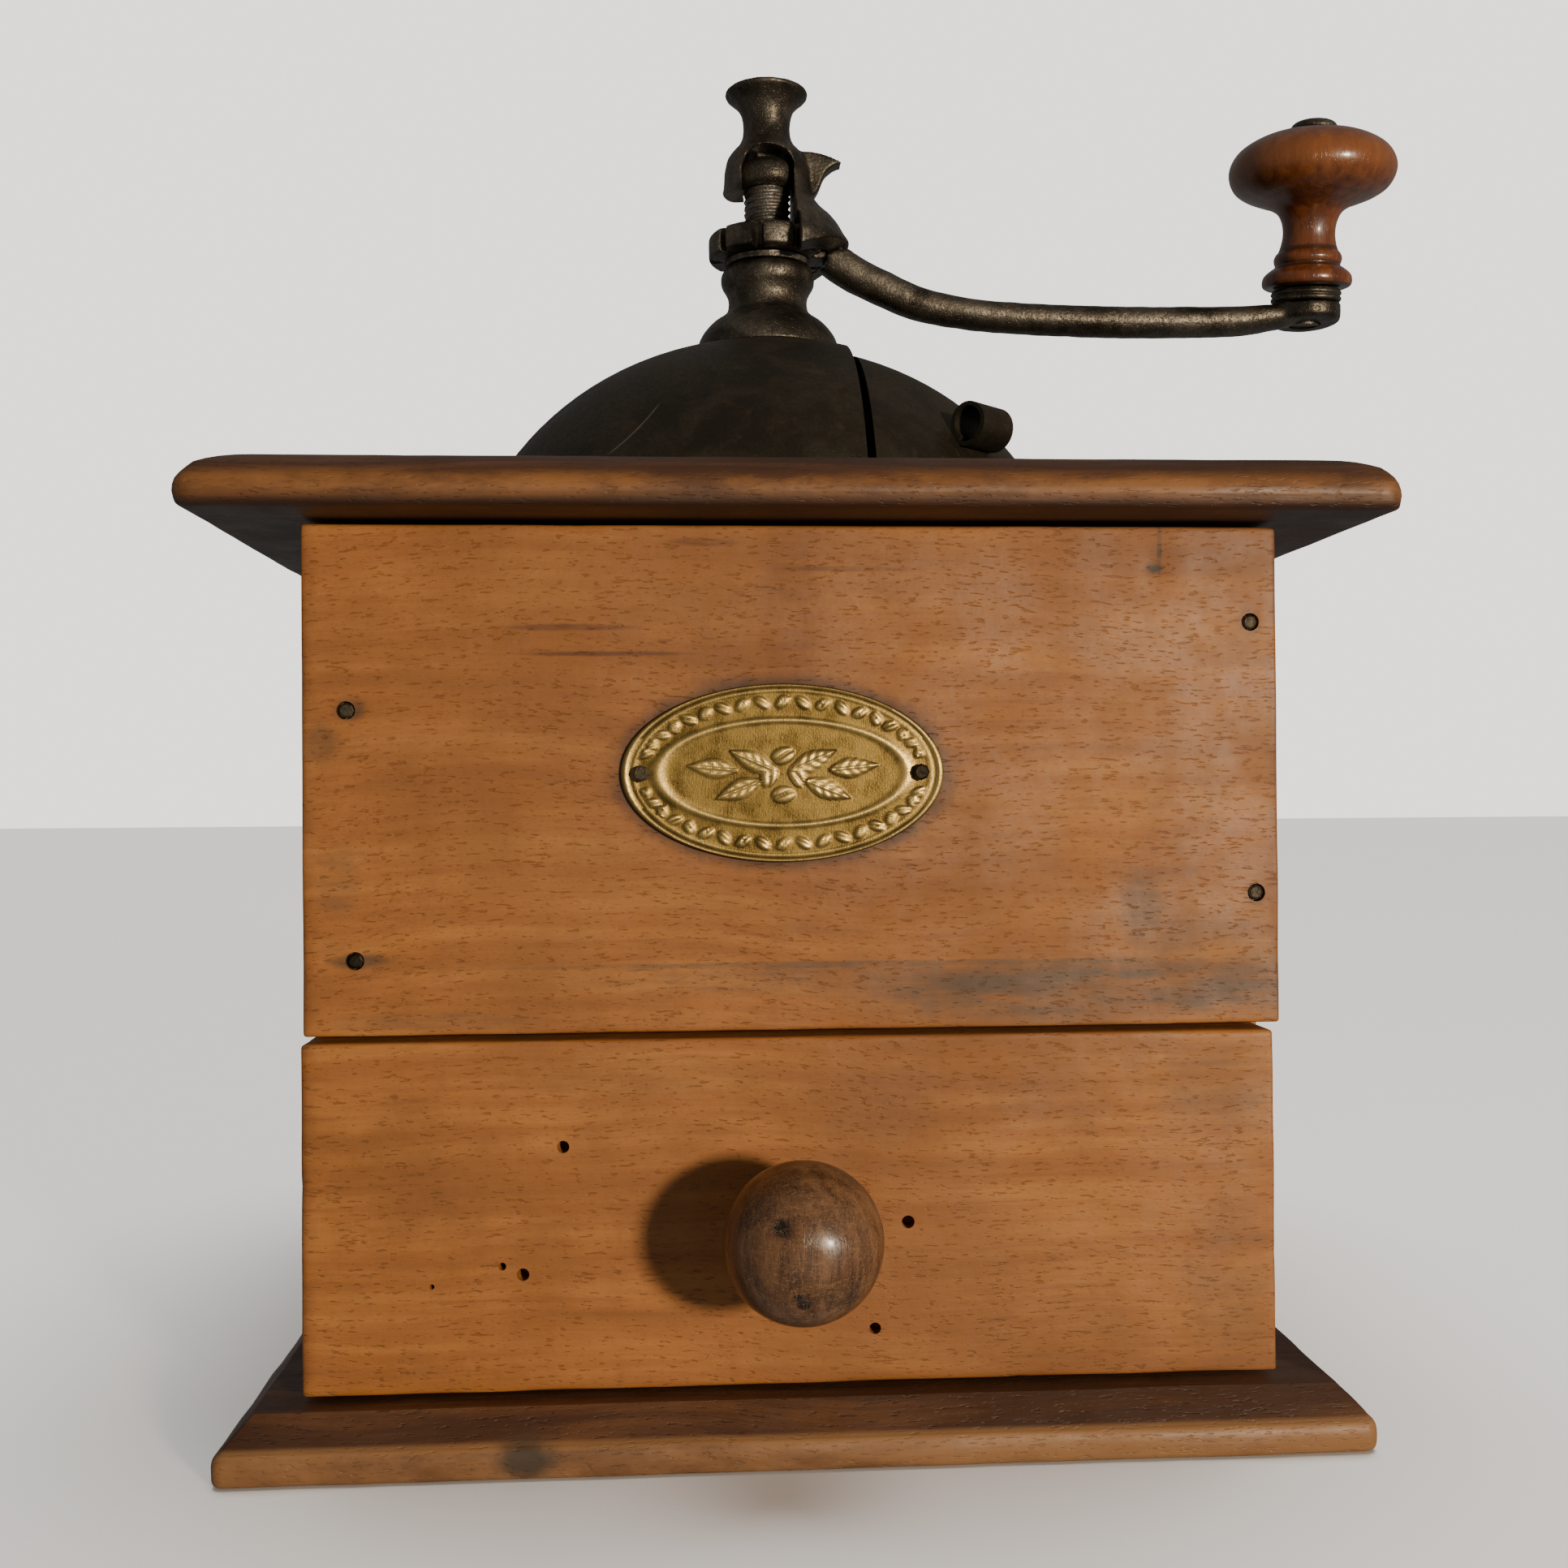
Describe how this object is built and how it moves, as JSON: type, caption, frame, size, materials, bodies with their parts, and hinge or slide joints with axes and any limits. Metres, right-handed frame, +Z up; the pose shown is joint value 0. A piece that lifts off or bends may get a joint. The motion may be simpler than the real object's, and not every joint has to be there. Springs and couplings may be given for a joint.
{
  "type": "hand crank coffee grinder",
  "caption": "Antique box coffee grinder: wooden case with a drawer, domed iron hopper with a sliding door, grind adjusting ring and a swan neck crank with a turned knob.",
  "frame": {"origin": "underside of the base board, on the spindle's axis", "axes": "+Z up along the spindle, -Y towards the drawer's front, +X towards the crank knob at rest"},
  "size_m": [0.2189, 0.1991, 0.2418],
  "materials": {
    "case_wood": "worn shellac on a plain hardwood",
    "board_wood": "dark stained, worn along the edges",
    "knob_wood": "dark polish, worn",
    "iron": "dark aged iron",
    "steel": "dull, tarnished",
    "brass": "embossed, tarnished"
  },
  "bodies": {
    "case": {"base_board": "board_wood", "side_panel_left": "case_wood", "side_panel_right": "case_wood", "front_panel": "case_wood", "back_panel": "case_wood", "top_board": "board_wood", "front_nail_1": "steel", "front_nail_2": "steel", "front_nail_3": "steel", "front_nail_4": "steel", "back_nail_1": "steel", "back_nail_2": "steel", "back_nail_3": "steel", "back_nail_4": "steel", "base_screw_1": "steel", "base_screw_2": "steel", "base_screw_3": "steel", "base_screw_4": "steel", "name_plate": "brass", "plate_pin_1": "steel", "plate_pin_2": "steel", "hopper_dome": "iron", "dome_screw_1": "steel", "dome_screw_2": "steel", "dome_screw_3": "steel", "dome_screw_4": "steel", "bearing_column": "iron", "column_nut": "steel", "hopper_bowl": "iron", "burr_ring": "iron", "bottom_bridge": "iron", "bridge_screw_1": "steel", "bridge_screw_2": "steel"},
    "door": {"hopper_door": "iron"},
    "adjuster": {"adjuster_ring": "iron"},
    "spindle": {"spindle": "steel", "thrust_washer": "steel", "burr_cone": "iron", "cone_pin": "steel", "cap_nut": "steel", "crank_head": "iron", "crank_arm": "iron", "crank_dowel": "steel", "knob_pin": "steel"},
    "knob": {"crank_knob": "knob_wood", "knob_ferrule": "steel"},
    "drawer": {"drawer_front": "case_wood", "drawer_side_left": "case_wood", "drawer_side_right": "case_wood", "drawer_back": "case_wood", "drawer_bottom": "case_wood", "drawer_knob": "knob_wood", "drawer_knob_screw": "steel"}
  },
  "joints": [
    {"name": "crank_turn", "type": "hinge", "parent": "case", "child": "spindle", "pos_m": [0, 0, 0.2066], "axis": [0, 0, 1], "continuous": true},
    {"name": "grind_adjust", "type": "hinge", "parent": "spindle", "child": "adjuster", "pos_m": [0, 0, 0.2098], "axis": [0, 0, -1], "range_deg": [0, 280]},
    {"name": "knob_spin", "type": "hinge", "parent": "spindle", "child": "knob", "pos_m": [0.1109, 0, 0.2002], "axis": [0, -0.1564, 0.9877], "continuous": true},
    {"name": "door_turn", "type": "hinge", "parent": "case", "child": "door", "pos_m": [0, 0, 0.16], "axis": [0, 0, 1], "range_deg": [0, 55]},
    {"name": "drawer_slide", "type": "slide", "parent": "case", "child": "drawer", "axis": [0, -1, 0], "range_m": [0, 0.11]}
  ]
}
